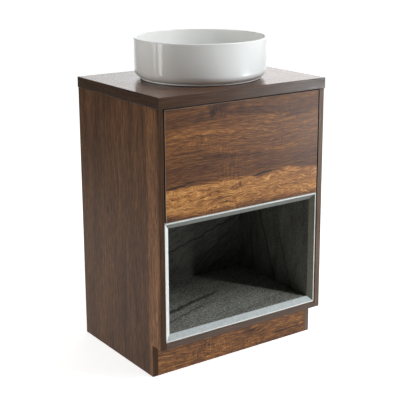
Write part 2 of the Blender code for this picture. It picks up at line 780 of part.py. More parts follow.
def build_outlet_pipe():
    """The waste pipe to the wall, its nut and its wall flange."""
    backwards = (-math.pi / 2, 0.0, 0.0)
    pipe_profile = (
        (TUBE_BORE, PIPE_END), (TUBE_RADIUS, PIPE_END), (TUBE_RADIUS, PIPE_START),
        (TUBE_BORE, PIPE_START),
    )
    turned("trap_outlet_pipe", pipe_profile, (0.0, 0.0, OUTLET_HEIGHT), backwards, finish="chrome")
    nut_start = OUTLET_END - SLIP_NUT_OVERLAP
    slip_nut("trap_outlet_nut", (0.0, nut_start, OUTLET_HEIGHT), (math.pi / 2, 0.0, 0.0))
    edge = 0.001
    slope = 0.004
    flange_profile = (
        (CLEAR_BORE, PIPE_END),
        (WALL_FLANGE_RADIUS, PIPE_END),
        (WALL_FLANGE_RADIUS, PIPE_END - edge),
        (WALL_FLANGE_RADIUS - slope, PIPE_END - WALL_FLANGE_DEPTH + slope - edge),
        (CLEAR_BORE, PIPE_END - WALL_FLANGE_DEPTH),
    )
    turned("trap_wall_flange", flange_profile, (0.0, 0.0, OUTLET_HEIGHT), backwards, finish="chrome")


# ---- Drawer --------------------------------------------------------------------------------

def build_drawer():
    """The drawer: its front, its box and the recess that clears the trap."""
    box_height = (BOX_BOTTOM, BOX_TOP)
    inner_half = BOX_HALF - BOX_BOARD - GAP
    inner_front = BOX_FRONT + BOX_BOARD
    inner_back = BOX_BACK - BOX_BOARD
    wall_half = RECESS_HALF + BOX_BOARD
    margin = 0.010
    board(
        "drawer_front", (-INNER + FRONT_GAP, INNER - FRONT_GAP), (FRONT, FRONT + BOARD),
        (DRAWER_FRONT_BOTTOM, DRAWER_FRONT_TOP), "walnut_laminate", EDGE_RADIUS, 2,
    )
    board(
        "drawer_inner_front", (-inner_half, inner_half), (BOX_FRONT, inner_front), box_height,
        "drawer_board",
    )
    base = board(
        "drawer_base", (-inner_half, inner_half), (inner_front + GAP, inner_back - GAP),
        (BASE_BOTTOM, BASE_TOP), "drawer_board",
    )
    notch = box(
        "recess_notch", (-RECESS_HALF, RECESS_HALF), (RECESS_FRONT, BOX_BACK),
        (BASE_BOTTOM - margin, BASE_TOP + margin),
    )
    combine(base, notch)
    wall_height = (BASE_TOP + GAP, BOX_TOP)
    board(
        "recess_wall_front", (-wall_half, wall_half), (RECESS_FRONT - BOX_BOARD, RECESS_FRONT),
        wall_height, "drawer_board",
    )
    for side, label in ((-1, "left"), (1, "right")):
        board(
            f"drawer_side_{label}", sorted((side * BOX_HALF, side * (BOX_HALF - BOX_BOARD))),
            (BOX_FRONT, BOX_BACK), box_height, "drawer_board",
        )
        board(
            f"drawer_back_{label}", sorted((side * (wall_half + GAP), side * inner_half)),
            (inner_back, BOX_BACK), box_height, "drawer_board",
        )
        board(
            f"recess_wall_{label}", sorted((side * RECESS_HALF, side * wall_half)),
            (RECESS_FRONT + GAP, BOX_BACK), wall_height, "drawer_board",
        )


def channel(name, side, outer, inner, half_height):
    """A steel channel along Y: a web at its outer face and two flanges towards the inner one."""
    towards = 1 if inner > outer else -1
    sheet = RUNNER_SHEET
    outline = [
        (outer, -half_height), (inner, -half_height), (inner, -half_height + sheet),
        (outer + towards * sheet, -half_height + sheet), (outer + towards * sheet, half_height - sheet),
        (inner, half_height - sheet), (inner, half_height), (outer, half_height),
    ]
    outline = [(side * u, -v) for u, v in outline]
    middle = RUNNER_START + RUNNER_LENGTH / 2
    location = (0.0, middle, RUNNER_HEIGHT_ABOVE_FLOOR)
    extruded(name, outline, RUNNER_LENGTH, location, (-math.pi / 2, 0.0, 0.0), "zinc_steel")


def build_runners():
    """A three-part runner at each side of the drawer."""
    members = {"cabinet": CABINET_CHANNEL, "middle": MIDDLE_CHANNEL, "drawer": DRAWER_CHANNEL}
    for side, label in ((-1, "left"), (1, "right")):
        for member, (outer, inner, half_height) in members.items():
            channel(f"runner_{label}_{member}", side, outer, inner, half_height)


def build_latch():
    """The push latch: a housing on the divider, and the plunger that kicks the drawer out."""
    base = NICHE_TOP + GAP + BOARD + GAP
    middle = base + LATCH_WIDTH / 2
    housing = board(
        "latch_housing", (LATCH_X - LATCH_WIDTH / 2, LATCH_X + LATCH_WIDTH / 2),
        (LATCH_FRONT + PLUNGER_STANDS_OUT, LATCH_FRONT + LATCH_LENGTH), (base, base + LATCH_WIDTH),
        "grey_plastic",
    )
    backwards = (-math.pi / 2, 0.0, 0.0)
    bore_end = LATCH_FRONT + LATCH_BORE_LENGTH
    bore = cylinder(
        "latch_bore", PLUNGER_RADIUS + GAP, bore_end - LATCH_FRONT,
        (LATCH_X, (bore_end + LATCH_FRONT) / 2, middle), backwards, sides=16,
    )
    combine(housing, bore)
    chamfer = 0.001
    profile = (
        (0.0, PLUNGER_LENGTH), (PLUNGER_RADIUS, PLUNGER_LENGTH), (PLUNGER_RADIUS, chamfer),
        (PLUNGER_RADIUS - chamfer, 0.0), (0.0, 0.0),
    )
    turned(
        "latch_plunger", profile, (LATCH_X, LATCH_FRONT, middle), backwards, steps=16,
        finish="white_plastic",
    )


def build():
    """Model the whole object."""
    build_side_panels()
    build_carcass_boards()
    build_niche()
    build_trim()
    build_wall_brackets()
    build_worktop()
    build_basin()
    build_waste()
    build_trap()
    build_drawer()
    build_runners()
    build_latch()


build()
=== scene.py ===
"""The looks of a vessel basin on a free-standing vanity.

Metres, +Z up, the front faces -Y. Every CAD board keeps its shape and gets a procedural laminate.
The turned pieces (basin, waste, backnut, trap) are made again here at full smoothness.
"""

import math

import bmesh
import bpy
from mathutils import Matrix, Vector


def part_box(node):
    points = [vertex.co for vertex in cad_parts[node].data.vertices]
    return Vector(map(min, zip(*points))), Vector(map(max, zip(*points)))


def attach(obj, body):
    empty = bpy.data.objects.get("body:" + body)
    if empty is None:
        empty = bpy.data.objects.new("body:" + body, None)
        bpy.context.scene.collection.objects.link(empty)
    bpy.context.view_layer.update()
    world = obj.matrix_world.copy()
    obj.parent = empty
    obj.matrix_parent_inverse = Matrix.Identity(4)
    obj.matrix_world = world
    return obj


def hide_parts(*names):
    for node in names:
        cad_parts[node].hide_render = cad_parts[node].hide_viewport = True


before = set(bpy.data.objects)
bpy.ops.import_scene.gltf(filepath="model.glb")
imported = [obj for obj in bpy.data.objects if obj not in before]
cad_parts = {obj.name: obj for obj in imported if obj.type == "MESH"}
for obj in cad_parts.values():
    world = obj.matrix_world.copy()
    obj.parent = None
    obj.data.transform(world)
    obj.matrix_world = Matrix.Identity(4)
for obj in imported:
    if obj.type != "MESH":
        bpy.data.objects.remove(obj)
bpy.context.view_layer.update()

X, Y, Z = 0, 1, 2


# ---- Colours -------------------------------------------------------------------------------

def srgb(red, green, blue):
    """A linear colour from 8-bit display values."""
    values = [level / 255 for level in (red, green, blue)]
    linear = [v / 12.92 if v <= 0.04045 else ((v + 0.055) / 1.055) ** 2.4 for v in values]
    return (*linear, 1.0)


# ---- A small builder for node materials ----------------------------------------------------

NOISE_MIDDLE = 0.5
FACING_LIMIT = 0.6
MIX_COLOUR_INPUTS = (0, 6, 7)
MIX_COLOUR_OUTPUT = 2


class Graph:
    """One material and short calls that add nodes to it. Inputs are sockets or plain values."""

    def __init__(self, name):
        self.material = bpy.data.materials.new(name)
        self.material.use_nodes = True
        self.nodes = self.material.node_tree.nodes
        self.links = self.material.node_tree.links
        self.shader = self.nodes["Principled BSDF"]
        self.place = self.add("ShaderNodeTexCoord").outputs["Object"]
        self.normal = self.nodes["Texture Coordinate"].outputs["Normal"]

    def add(self, kind, **settings):
        """A new node with some of its settings."""
        node = self.nodes.new(kind)
        for key, value in settings.items():
            setattr(node, key, value)
        return node

    def feed(self, socket, value):
        """Give an input a link or a value."""
        if isinstance(value, bpy.types.NodeSocket):
            self.links.new(value, socket)
        else:
            socket.default_value = value

    def shade(self, **values):
        """Set inputs of the shader, with underscores for the spaces in their names."""
        for key, value in values.items():
            self.feed(self.shader.inputs[key.replace("_", " ")], value)

    def math(self, operation, *values):
        """A Math node."""
        node = self.add("ShaderNodeMath", operation=operation)
        for socket, value in zip(node.inputs, values):
            self.feed(socket, value)
        return node.outputs[0]

    def total(self, *values):
        """The sum of any number of values."""
        result = values[0]
        for value in values[1:]:
            result = self.math("ADD", result, value)
        return result

    def scaled(self, value, gain):
        """A noise value about its middle, times a gain."""
        return self.math("MULTIPLY", self.math("SUBTRACT", value, NOISE_MIDDLE), gain)

    def axes(self, vector=None):
        """The three parts of a vector, the position by default."""
        node = self.add("ShaderNodeSeparateXYZ")
        self.feed(node.inputs[0], self.place if vector is None else vector)
        return node.outputs[0], node.outputs[1], node.outputs[2]

    def vector(self, x, y, z):
        """A vector from its three parts."""
        node = self.add("ShaderNodeCombineXYZ")
        for socket, value in zip(node.inputs, (x, y, z)):
            self.feed(socket, value)
        return node.outputs[0]

    def noise(self, vector, scale=1.0, detail=2.0, roughness=0.5, distortion=0.0):
        """Noise about 0.5."""
        node = self.add("ShaderNodeTexNoise")
        self.feed(node.inputs["Vector"], vector)
        node.inputs["Scale"].default_value = scale
        node.inputs["Detail"].default_value = detail
        node.inputs["Roughness"].default_value = roughness
        node.inputs["Distortion"].default_value = distortion
        return node.outputs["Fac"]

    def stretched(self, u, v, u_scale, v_scale, seed, **options):
        """Noise that is drawn out along u, on its own plane for each seed."""
        u = self.math("MULTIPLY", u, u_scale)
        v = self.math("MULTIPLY", v, v_scale)
        return self.noise(self.vector(u, v, seed), **options)

    def cells(self, vector, scale):
        """A random value for each Voronoi cell."""
        node = self.add("ShaderNodeTexVoronoi")
        self.feed(node.inputs["Vector"], vector)
        node.inputs["Scale"].default_value = scale
        split = self.add("ShaderNodeSeparateColor")
        self.links.new(node.outputs["Color"], split.inputs[0])
        return split.outputs[0]

    def span(self, value, low, high, start=0.0, end=1.0):
        """Map low..high smoothly to start..end, held at both ends."""
        node = self.add("ShaderNodeMapRange", interpolation_type="SMOOTHSTEP")
        for socket, number in zip(node.inputs, (value, low, high, start, end)):
            self.feed(socket, number)
        return node.outputs[0]

    def ramp(self, value, stops):
        """Colours along a value, as (position, colour) stops."""
        node = self.add("ShaderNodeValToRGB")
        elements = node.color_ramp.elements
        while len(elements) < len(stops):
            elements.new(0.5)
        for element, (position, colour) in zip(elements, stops):
            element.position = position
            element.color = colour
        self.feed(node.inputs[0], value)
        return node.outputs[0]

    def blend(self, factor, first, second):
        """Mix two colours."""
        node = self.add("ShaderNodeMix", data_type="RGBA")
        for index, value in zip(MIX_COLOUR_INPUTS, (factor, first, second)):
            self.feed(node.inputs[index], value)
        return node.outputs[MIX_COLOUR_OUTPUT]

    def bump(self, height, depth):
        """Raise the surface by a height, with depth as its metres at height 1."""
        node = self.add("ShaderNodeBump")
        node.inputs["Strength"].default_value = 1.0
        node.inputs["Distance"].default_value = depth
        self.feed(node.inputs["Height"], height)
        self.links.new(node.outputs[0], self.shader.inputs["Normal"])

    def facing(self, axis):
        """1 where the surface faces along an axis, either way."""
        part = self.axes(self.normal)[axis]
        return self.math("GREATER_THAN", self.math("ABSOLUTE", part), FACING_LIMIT)


# ---- Laminates -----------------------------------------------------------------------------

EDGE_FOLD = 0.9
PAINTED_END_SHADE = srgb(22, 14, 9)
PAINTED_EDGE_HIGHLIGHT = srgb(206, 190, 176)

WOOD_TONES = (
    (0.00, srgb(43, 24, 14)),
    (0.25, srgb(72, 42, 22)),
    (0.45, srgb(101, 62, 31)),
    (0.62, srgb(134, 86, 42)),
    (0.80, srgb(174, 118, 60)),
    (1.00, srgb(214, 159, 94)),
)
EDGE_TONES = (
    (0.0, srgb(44, 28, 18)),
    (0.5, srgb(71, 49, 33)),
    (1.0, srgb(106, 76, 54)),
)
LIT_EDGE_TONES = (
    (0.0, srgb(66, 50, 40)),
    (0.5, srgb(104, 86, 73)),
    (1.0, srgb(142, 122, 108)),
)
TOP_TONES = (
    (0.00, srgb(42, 28, 23)),
    (0.40, srgb(78, 54, 42)),
    (0.70, srgb(108, 76, 58)),
    (1.00, srgb(140, 102, 80)),
)
SIDE_TONES = (
    (0.00, srgb(40, 27, 18)),
    (0.30, srgb(69, 48, 34)),
    (0.55, srgb(98, 69, 48)),
    (0.80, srgb(136, 96, 64)),
    (1.00, srgb(174, 124, 80)),
)


def depth_axis(along, across):
    """The axis that is neither along nor across the grain."""
    return X + Y + Z - along - across


def grain_axes(graph, along, across, face=0.0):
    """Distance along and across the grain, with the depth behind the face folded in.

    The fold lets an edge differ from the face it belongs to.
    """
    parts = graph.axes()
    depth = graph.math("SUBTRACT", parts[depth_axis(along, across)], face)
    return parts[along], graph.math("ADD", parts[across], graph.math("MULTIPLY", depth, EDGE_FOLD))


def light_bands(graph, u, v, bands, seed):
    """The sapwood bands, as (middle, half width, strength) across the grain, with ragged sides."""
    ragged = graph.scaled(graph.stretched(u, v, 5.0, 12.0, seed, detail=3.0), 0.050)
    ragged = graph.math("ADD", v, ragged)
    result = 0.0
    for middle, half_width, strength in bands:
        distance = graph.math("ABSOLUTE", graph.math("SUBTRACT", ragged, middle))
        band = graph.span(distance, half_width * 0.70, half_width * 1.15, strength, 0.0)
        result = graph.math("ADD", result, band)
    return result


def knots(graph, u, v, places):
    """Dark knots and short cracks, as (u, v, half length, half height, depth)."""
    result = 0.0
    for middle_u, middle_v, length, height, depth in places:
        across = graph.math("DIVIDE", graph.math("SUBTRACT", v, middle_v), height)
        along = graph.math("DIVIDE", graph.math("SUBTRACT", u, middle_u), length)
        squares = graph.math(
            "ADD", graph.math("MULTIPLY", across, across), graph.math("MULTIPLY", along, along)
        )
        result = graph.math("ADD", result, graph.span(squares, 0.10, 1.3, depth, 0.0))
    return result


def wood(name, along, across, seed, face=0.0, bands=(), marks=(), base=0.36, contrast=1.0,
         edge_axes=(), edging=EDGE_TONES, tones=WOOD_TONES, roughness=0.32, figure=1.0, shine=0.5,
         catch=0.0):
    """Walnut-effect laminate with its grain along one axis, and edging on the faces of edge_axes.

    base and contrast set the tone, figure how far the grain curls, shine the specular level, and
    catch how strong a painted highlight is on the eased corners. Edging that faces along X gets a
    painted shade.
    """
    graph = Graph(name)
    u, v = grain_axes(graph, along, across, face)
    light = light_bands(graph, u, v, bands, seed)
    curly = graph.math("ADD", graph.math("MULTIPLY", light, 2.6 * figure), 0.16 * figure)
    long_wave = graph.scaled(graph.stretched(u, v, 2.4, 4.0, seed + 1.7), 0.050)
    swirl = graph.stretched(u, v, 14.0, 24.0, seed + 3.1, detail=1.5, roughness=0.5)
    ripple = graph.stretched(u, v, 42.0, 80.0, seed + 5.3, detail=1.5)
    swirl = graph.total(graph.scaled(swirl, 0.028), graph.scaled(ripple, 0.012))
    bent = graph.total(v, long_wave, graph.math("MULTIPLY", swirl, curly))
    broad = graph.stretched(u, bent, 1.8, 15.0, seed + 7.3, detail=3.0, roughness=0.5)
    streaks = graph.stretched(u, bent, 3.5, 85.0, seed + 11.9, detail=3.0, roughness=0.6)
    lines = graph.stretched(u, bent, 8.0, 300.0, seed + 14.3, detail=3.0, roughness=0.6)
    fibres = graph.stretched(u, bent, 34.0, 560.0, seed + 17.7, detail=3.0, roughness=0.7)
    chatter = graph.stretched(u, v, 250.0, 40.0, seed + 37.7, detail=2.0)
    patches = graph.span(graph.stretched(u, v, 9.0, 14.0, seed + 41.3), 0.50, 0.66)
    lively = graph.math("ADD", light, contrast)
    pores = graph.span(lines, 0.33, 0.43, 0.13 * contrast, 0.0)
    fine = graph.total(graph.scaled(lines, 0.42), graph.scaled(fibres, 1.25))
    tone = graph.total(
        base,
        light,
        graph.scaled(broad, 0.52 * contrast),
        graph.scaled(streaks, 0.24 * contrast),
        graph.math("MULTIPLY", fine, lively),
        graph.math("MULTIPLY", patches, graph.scaled(chatter, 0.60 * contrast * figure)),
    )
    tone = graph.math("SUBTRACT", tone, graph.total(pores, knots(graph, u, bent, marks)))
    colour = graph.ramp(tone, tones)
    if edge_axes:
        parts = graph.axes()
        rim = graph.math("ADD", parts[along], parts[across])
        thickness = parts[depth_axis(along, across)]
        banding = graph.stretched(rim, thickness, 9.0, 420.0, seed + 47.0, detail=3.0)
        edging = graph.ramp(graph.total(0.5, graph.scaled(banding, 1.3)), edging)
        # Painted shade: edging that faces along X is blended up to 40 % towards a near-black brown.
        painted_end_shade_mask = graph.span(graph.facing(X), 0.0, 1.0, 0.0, 0.4)
        edging = graph.blend(painted_end_shade_mask, edging, PAINTED_END_SHADE)
        mask = graph.facing(edge_axes[0])
        for axis in edge_axes[1:]:
            mask = graph.math("MAXIMUM", mask, graph.facing(axis))
        colour = graph.blend(mask, colour, edging)
    # Painted highlight: the eased corners are painted paler, like thin lines where they catch the
    # light.
    if catch:
        parts = [graph.math("ABSOLUTE", part) for part in graph.axes(graph.normal)]
        squareness = graph.math("MAXIMUM", graph.math("MAXIMUM", parts[0], parts[1]), parts[2])
        painted_highlight = graph.span(squareness, 0.94, 0.99, catch, 0.0)
        colour = graph.blend(painted_highlight, colour, PAINTED_EDGE_HIGHLIGHT)
    sheen = graph.total(roughness, graph.scaled(fibres, 0.16), graph.scaled(broad, 0.08))
    graph.shade(Base_Color=colour, Roughness=sheen, Specular_IOR_Level=shine)
    graph.bump(graph.total(fibres, lines), 0.00018)
    return graph.material


def vein(graph, u, v, start, end, width, depth, seed):
    """A dark wandering line between two points of a face."""
    run_u, run_v = end[0] - start[0], end[1] - start[1]
    length = math.hypot(run_u, run_v)
    du = graph.math("SUBTRACT", u, start[0])
    dv = graph.math("SUBTRACT", v, start[1])
    forward = graph.math(
        "ADD",
        graph.math("MULTIPLY", du, run_u / length),
        graph.math("MULTIPLY", dv, run_v / length),
    )
    sideways = graph.math(
        "SUBTRACT",
        graph.math("MULTIPLY", dv, run_u / length),
        graph.math("MULTIPLY", du, run_v / length),
    )
    wander = graph.scaled(graph.stretched(forward, sideways, 22.0, 5.0, seed, detail=3.0), 0.030)
    distance = graph.math("ABSOLUTE", graph.math("ADD", sideways, wander))
    line = graph.span(distance, width * 0.2, width, depth, 0.0)
    inside = graph.math(
        "MULTIPLY",
        graph.span(forward, -0.03, 0.01),
        graph.span(forward, length - 0.02, length + 0.05, 1.0, 0.0),
    )
    return graph.math("MULTIPLY", line, inside)


SLATE_TONES = (
    (0.00, srgb(40, 38, 34)),
    (0.35, srgb(86, 86, 80)),
    (0.60, srgb(124, 125, 118)),
    (1.00, srgb(174, 175, 168)),
)


def slate(name, along, across, seed, face=0.0, veins=(), base=0.46, speck=300.0, mottling=1.6,
          tilt=0.0):
    """Slate-effect laminate: cloudy, finely mottled, with dark veins drawn out along one axis."""
    graph = Graph(name)
    u, v = grain_axes(graph, along, across, face)
    slope = graph.math("ADD", v, graph.math("MULTIPLY", u, tilt))
    clouds = graph.stretched(u, slope, 9.0, 22.0, seed, detail=4.0, roughness=0.6, distortion=0.6)
    mottle = graph.noise(graph.place, speck, 3.0, 0.75)
    grit = graph.noise(graph.place, speck * 3.1, 2.0, 0.6)
    wander = graph.scaled(graph.stretched(u, v, 6.0, 9.0, seed + 5.0, detail=3.0), 0.12)
    cleft = graph.stretched(u, graph.math("ADD", slope, wander), 2.5, 22.0, seed + 9.0, detail=2.0)
    ridge = graph.math("ABSOLUTE", graph.math("SUBTRACT", cleft, 0.5))
    lines = graph.span(ridge, 0.0, 0.02, 0.12, 0.0)
    for number, (start, end, width, depth) in enumerate(veins):
        line = vein(graph, u, v, start, end, width, depth, seed + 13.0 + number)
        lines = graph.math("MAXIMUM", lines, line)
    tone = graph.total(
        base,
        graph.scaled(clouds, 0.50),
        graph.scaled(mottle, mottling),
        graph.scaled(grit, 0.6 * mottling),
    )
    tone = graph.math("SUBTRACT", tone, lines)
    graph.shade(
        Base_Color=graph.ramp(tone, SLATE_TONES),
        Roughness=graph.total(0.52, graph.scaled(mottle, 0.3)),
        Specular_IOR_Level=0.35,
    )
    swell = graph.math("MULTIPLY", clouds, 1.5)
    grooves = graph.math("MULTIPLY", lines, -3.0)
    graph.bump(graph.total(mottle, swell, grooves), 0.00035)
    return graph.material


THREAD_PITCH = 0.0016
LINEN_TONES = ((0.2, srgb(66, 67, 69)), (0.5, srgb(88, 89, 91)), (0.8, srgb(112, 113, 114)))


def drawer_board():
    """Grey textile-effect laminate: a fine linen weave with slubs."""
    graph = Graph("linen_laminate")
    x, y, z = graph.axes()
    across = graph.math("ADD", x, y)
    threads = 2 * math.pi / THREAD_PITCH
    warp = graph.math("SINE", graph.math("MULTIPLY", across, threads))
    rise = graph.math("ADD", z, graph.math("MULTIPLY", y, 0.5))
    weft = graph.math("SINE", graph.math("MULTIPLY", rise, threads))
    weave = graph.math("MULTIPLY", warp, weft)
    slub = graph.stretched(across, z, 900.0, 60.0, 4.0, detail=2.0)
    slub_across = graph.stretched(across, z, 60.0, 900.0, 8.0, detail=2.0)
    tone = graph.total(
        0.5,
        graph.scaled(slub, 0.6),
        graph.scaled(slub_across, 0.6),
        graph.math("MULTIPLY", weave, 0.08),
    )
    graph.shade(
        Base_Color=graph.ramp(tone, LINEN_TONES),
        Roughness=graph.total(0.55, graph.scaled(slub, 0.2)),
    )
    graph.bump(graph.total(weave, slub, slub_across), 0.00012)
    return graph.material


# ---- Metals, ceramic, plastics -------------------------------------------------------------

TRIM_PALE = ((0.15, srgb(216, 220, 217)), (0.5, srgb(238, 242, 239)), (0.9, srgb(250, 252, 250)))
TRIM_HALF_SHADE_TONES = ((0.15, srgb(148, 155, 155)), (0.5, srgb(176, 183, 184)), (0.9, srgb(200, 207, 208)))
TRIM_SHADE_TONES = ((0.15, srgb(66, 64, 51)), (0.5, srgb(81, 80, 65)), (0.9, srgb(102, 101, 86)))


def silver_trim():
    """Pale satin silver with a fine pitted grain.

    Painted shade: the splay that faces up is painted a mid grey, and those that face left and down
    are painted dark, while the faces to the front and to the right keep the pale tone.
    """
    graph = Graph("silver_trim")
    fine = graph.noise(graph.place, 420.0, 3.0, 0.75)
    patches = graph.noise(graph.place, 60.0, 3.0, 0.6)
    tone = graph.total(0.5, graph.scaled(fine, 1.5), graph.scaled(patches, 0.5))
    pale = graph.ramp(tone, TRIM_PALE)
    splay = graph.ramp(tone, TRIM_HALF_SHADE_TONES)
    dark = graph.ramp(tone, TRIM_SHADE_TONES)
    # Painted light and shade on one silver: each face's facing picks the pale, the half-shaded or
    # the shaded tones.
    across, front, up = graph.axes(graph.normal)
    flat = graph.span(graph.math("ABSOLUTE", front), 0.85, 0.97)
    flat = graph.math("MAXIMUM", flat, graph.span(across, 0.3, 0.6))
    leftward = graph.span(across, -0.6, -0.3, 1.0, 0.0)
    downward = graph.span(up, -0.6, -0.3, 0.7, 0.0)
    shaded = graph.math("MAXIMUM", leftward, downward)
    colour = graph.blend(flat, graph.blend(shaded, splay, dark), pale)
    graph.shade(Base_Color=colour, Roughness=graph.total(0.42, graph.scaled(fine, 0.25)))
    graph.bump(fine, 0.00008)
    return graph.material


def ceramic():
    """White glaze: glossy, a little uneven in its flow, with a fine orange peel."""
    graph = Graph("glazed_ceramic")
    flow = graph.noise(graph.place, 7.0, 2.0, 0.4)
    orange_peel = graph.noise(graph.place, 120.0, 2.0, 0.5)
    tint = graph.ramp(flow, ((0.3, srgb(238, 240, 240)), (0.7, srgb(245, 246, 244))))
    sheen = graph.total(0.12, graph.scaled(orange_peel, 0.03))
    graph.shade(Base_Color=tint, Roughness=sheen, IOR=1.50)
    graph.bump(graph.total(graph.math("MULTIPLY", flow, 12.0), orange_peel), 0.00010)
    return graph.material


def metal(name, light, dark, roughness, spangle=0.0, scratches=0.1):
    """Bright metal with smudges, and crystals where it is galvanised."""
    graph = Graph(name)
    smudge = graph.noise(graph.place, 35.0, 4.0, 0.6)
    fine = graph.noise(graph.place, 700.0, 2.0, 0.6)
    crystals = graph.cells(graph.place, 160.0)
    tone = graph.total(0.5, graph.scaled(smudge, 0.5), graph.scaled(crystals, spangle))
    colour = graph.ramp(tone, ((0.1, dark), (0.8, light)))
    sheen = graph.total(
        roughness,
        graph.scaled(smudge, scratches),
        graph.scaled(crystals, 0.3 * spangle),
        graph.scaled(fine, 0.5 * scratches),
    )
    graph.shade(Base_Color=colour, Metallic=1.0, Roughness=sheen)
    graph.bump(fine, 0.00002)
    return graph.material


def moulded(name, light, dark, roughness, grain_depth):
    """Moulded plastic, rubber or silicone with a fine grain and slight clouding."""
    graph = Graph(name)
    clouds = graph.noise(graph.place, 30.0, 3.0, 0.5)
    grain = graph.noise(graph.place, 500.0, 3.0, 0.6)
    tone = graph.total(0.5, graph.scaled(clouds, 0.6), graph.scaled(grain, 0.5))
    colour = graph.ramp(tone, ((0.2, dark), (0.8, light)))
    graph.shade(Base_Color=colour, Roughness=graph.total(roughness, graph.scaled(grain, 0.2)))
    graph.bump(grain, grain_depth)
    return graph.material


def paint(node, material):
    """Give a CAD node its finished material."""
    for material_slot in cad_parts[node].material_slots:
        material_slot.material = material


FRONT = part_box("drawer_front")[0][Y]
HALF_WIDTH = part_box("side_panel_right")[1][X]
DRAWER_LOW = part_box("drawer_front")[0][Z]
PLINTH_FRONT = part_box("plinth")[0][Y]
WORKTOP_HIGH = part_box("worktop")[1][Z]


def paint_cabinet():
    """The walnut boards. Bands and marks follow the photo's drawer front, sides and plinth."""
    drawer_bands = (
        (DRAWER_LOW + 0.053, 0.044, 0.38),
        (DRAWER_LOW + 0.226, 0.040, 0.13),
        (DRAWER_LOW + 0.176, 0.012, 0.05),
    )
    drawer_marks = (
        (-0.117, DRAWER_LOW + 0.287, 0.012, 0.012, 0.32),
        (-0.095, DRAWER_LOW + 0.306, 0.040, 0.018, 0.20),
        (0.040, DRAWER_LOW + 0.285, 0.150, 0.012, 0.12),
        (0.180, DRAWER_LOW + 0.262, 0.060, 0.007, 0.14),
        (-0.243, DRAWER_LOW + 0.093, 0.040, 0.0030, 0.55),
        (-0.195, DRAWER_LOW + 0.097, 0.026, 0.0020, 0.28),
        (0.075, DRAWER_LOW + 0.088, 0.050, 0.0026, 0.42),
        (-0.125, DRAWER_LOW + 0.056, 0.060, 0.0022, 0.34),
        (-0.018, DRAWER_LOW + 0.069, 0.005, 0.0080, 0.30),
        (-0.020, DRAWER_LOW + 0.150, 0.140, 0.0240, 0.12),
        (-0.200, DRAWER_LOW + 0.132, 0.120, 0.0260, 0.09),
        (0.250, DRAWER_LOW + 0.055, 0.110, 0.0450, 0.08),
    )
    paint("drawer_front", wood(
        "walnut_drawer_front", X, Z, 3.0, FRONT, drawer_bands, drawer_marks, base=0.385,
        edge_axes=(X, Z), shine=0.25, catch=0.8,
    ))
    side_bands = (
        (FRONT + 0.034, 0.030, 0.20),
        (FRONT + 0.115, 0.020, 0.04),
        (FRONT + 0.250, 0.040, 0.06),
    )
    side_marks = ((0.455, 0.070, 0.014, 0.009, 0.12), (0.690, -0.120, 0.040, 0.004, 0.06))
    # The right panel's edging is painted paler than the left's: painted light where its front edge
    # catches the lamps on the right.
    for label, face, seed, edging in (
        ("left", -HALF_WIDTH, 21.0, EDGE_TONES),
        ("right", HALF_WIDTH, 57.0, LIT_EDGE_TONES),
    ):
        paint(f"side_panel_{label}", wood(
            f"walnut_side_{label}", Z, Y, seed, face, side_bands, side_marks, base=0.41,
            edge_axes=(Y,), edging=edging, figure=0.3, shine=0.10, tones=SIDE_TONES,
        ))
    paint("plinth", wood(
        "walnut_plinth", X, Z, 71.0, PLINTH_FRONT, ((0.055, 0.060, 0.24),), base=0.285,
        contrast=1.2, shine=0.3,
    ))
    paint("bottom_panel", wood(
        "walnut_bottom", X, Y, 83.0, base=0.34, contrast=0.6, edge_axes=(Y,),
    ))
    paint("worktop", wood(
        "walnut_worktop", X, Y, 95.0, WORKTOP_HIGH, base=0.55, contrast=1.8, edge_axes=(X, Y),
        tones=TOP_TONES, roughness=0.20, figure=0.3, shine=0.34,
    ))
    carcass = wood("walnut_carcass", X, Y, 111.0, contrast=0.5, roughness=0.55, figure=0.3)
    for node in ("divider_panel", "front_stretcher", "rear_stretcher", "rear_rail", "lower_rail"):
        paint(node, carcass)


def paint_niche():
    """Slate-effect lining, with the veins of its floor, back and right side, and its trim."""
    floor_veins = (
        ((-0.255, -0.098), (0.035, -0.014), 0.0120, 0.55),
        ((-0.250, -0.150), (-0.060, -0.085), 0.0070, 0.36),
        ((0.020, -0.190), (0.240, -0.140), 0.0050, 0.20),
    )
    back_veins = (
        ((-0.060, 0.228), (0.235, 0.312), 0.0040, 0.34),
        ((0.085, 0.170), (0.260, 0.300), 0.0030, 0.28),
    )
    right_veins = (
        ((0.130, -0.050), (0.460, 0.075), 0.0060, 0.26),
        ((0.120, 0.060), (0.470, 0.110), 0.0050, 0.22),
        ((0.130, -0.130), (0.330, -0.060), 0.0050, 0.20),
    )
    floor_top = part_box("niche_floor")[1][Z]
    back_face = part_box("niche_back")[0][Y]
    right_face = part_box("niche_side_right")[0][X]
    paint("niche_floor", slate(
        "slate_floor", X, Y, 5.0, floor_top, floor_veins, base=0.66, speck=170.0, mottling=2.7,
        tilt=-0.3,
    ))
    paint("niche_back", slate(
        "slate_back", X, Z, 15.0, back_face, back_veins, base=0.38, mottling=1.0, tilt=-0.4,
    ))
    paint("niche_side_left", slate("slate_side_left", Z, Y, 25.0, -right_face, base=0.42))
    paint("niche_side_right", slate(
        "slate_side_right", Z, Y, 35.0, right_face, right_veins, base=0.42,
    ))
    paint("niche_ceiling", slate("slate_ceiling", X, Y, 45.0, base=0.42))
    trim = silver_trim()
    for part in ("bottom", "top", "left", "right"):
        paint(f"trim_{part}", trim)


